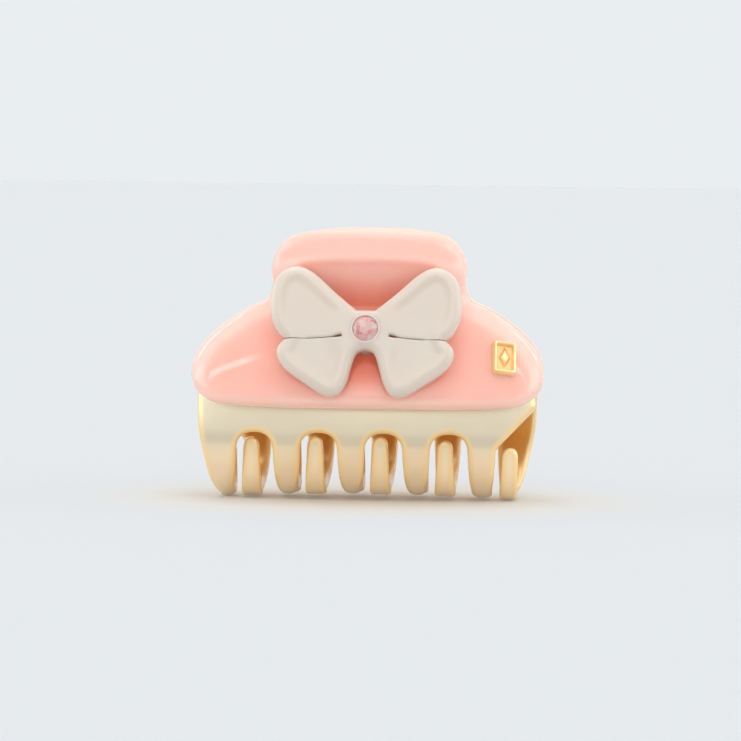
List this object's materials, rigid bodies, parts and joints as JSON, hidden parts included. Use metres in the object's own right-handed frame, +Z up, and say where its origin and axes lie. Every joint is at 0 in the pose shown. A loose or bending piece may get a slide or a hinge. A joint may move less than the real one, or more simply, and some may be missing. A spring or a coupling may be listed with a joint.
{
  "type": "claw hair clip",
  "caption": "Sprung claw clip with two interlocking toothed jaws, thick rounded covers and a bow ornament with a crystal on the front cover",
  "frame": {"origin": "on the plane the teeth stand on, straight below the middle of the hinge pin", "axes": "+X along the hinge towards the stud's side, -Y towards the bow (front), +Z up from the teeth to the finger pads"},
  "size_m": [0.055, 0.0357, 0.0421],
  "materials": {
    "jaw_gold": "satin champagne-gold lacquer over moulded plastic",
    "cover_pink": "polished translucent peach-pink acetate",
    "bow_cream": "polished cream acetate",
    "crystal": "cut pink rhinestone with a foiled back",
    "stud_gold": "polished gold plate",
    "steel": "bright drawn steel wire and pin"
  },
  "bodies": {
    "front_side": {"front_jaw": "jaw_gold", "front_cover": "cover_pink", "bow": "bow_cream", "crystal": "crystal", "badge_stud": "stud_gold", "hinge_pin": "steel", "spring": "steel"},
    "rear_side": {"rear_jaw": "jaw_gold", "rear_cover": "cover_pink"}
  },
  "joints": [
    {"name": "jaw_hinge", "type": "hinge", "parent": "front_side", "child": "rear_side", "pos_m": [0, 0, 0.0295], "axis": [1, 0, 0], "range_deg": [0, 60], "stiffness_Nm_per_rad": 0.08, "springref_deg": -34.38, "deforming": ["spring"]}
  ]
}
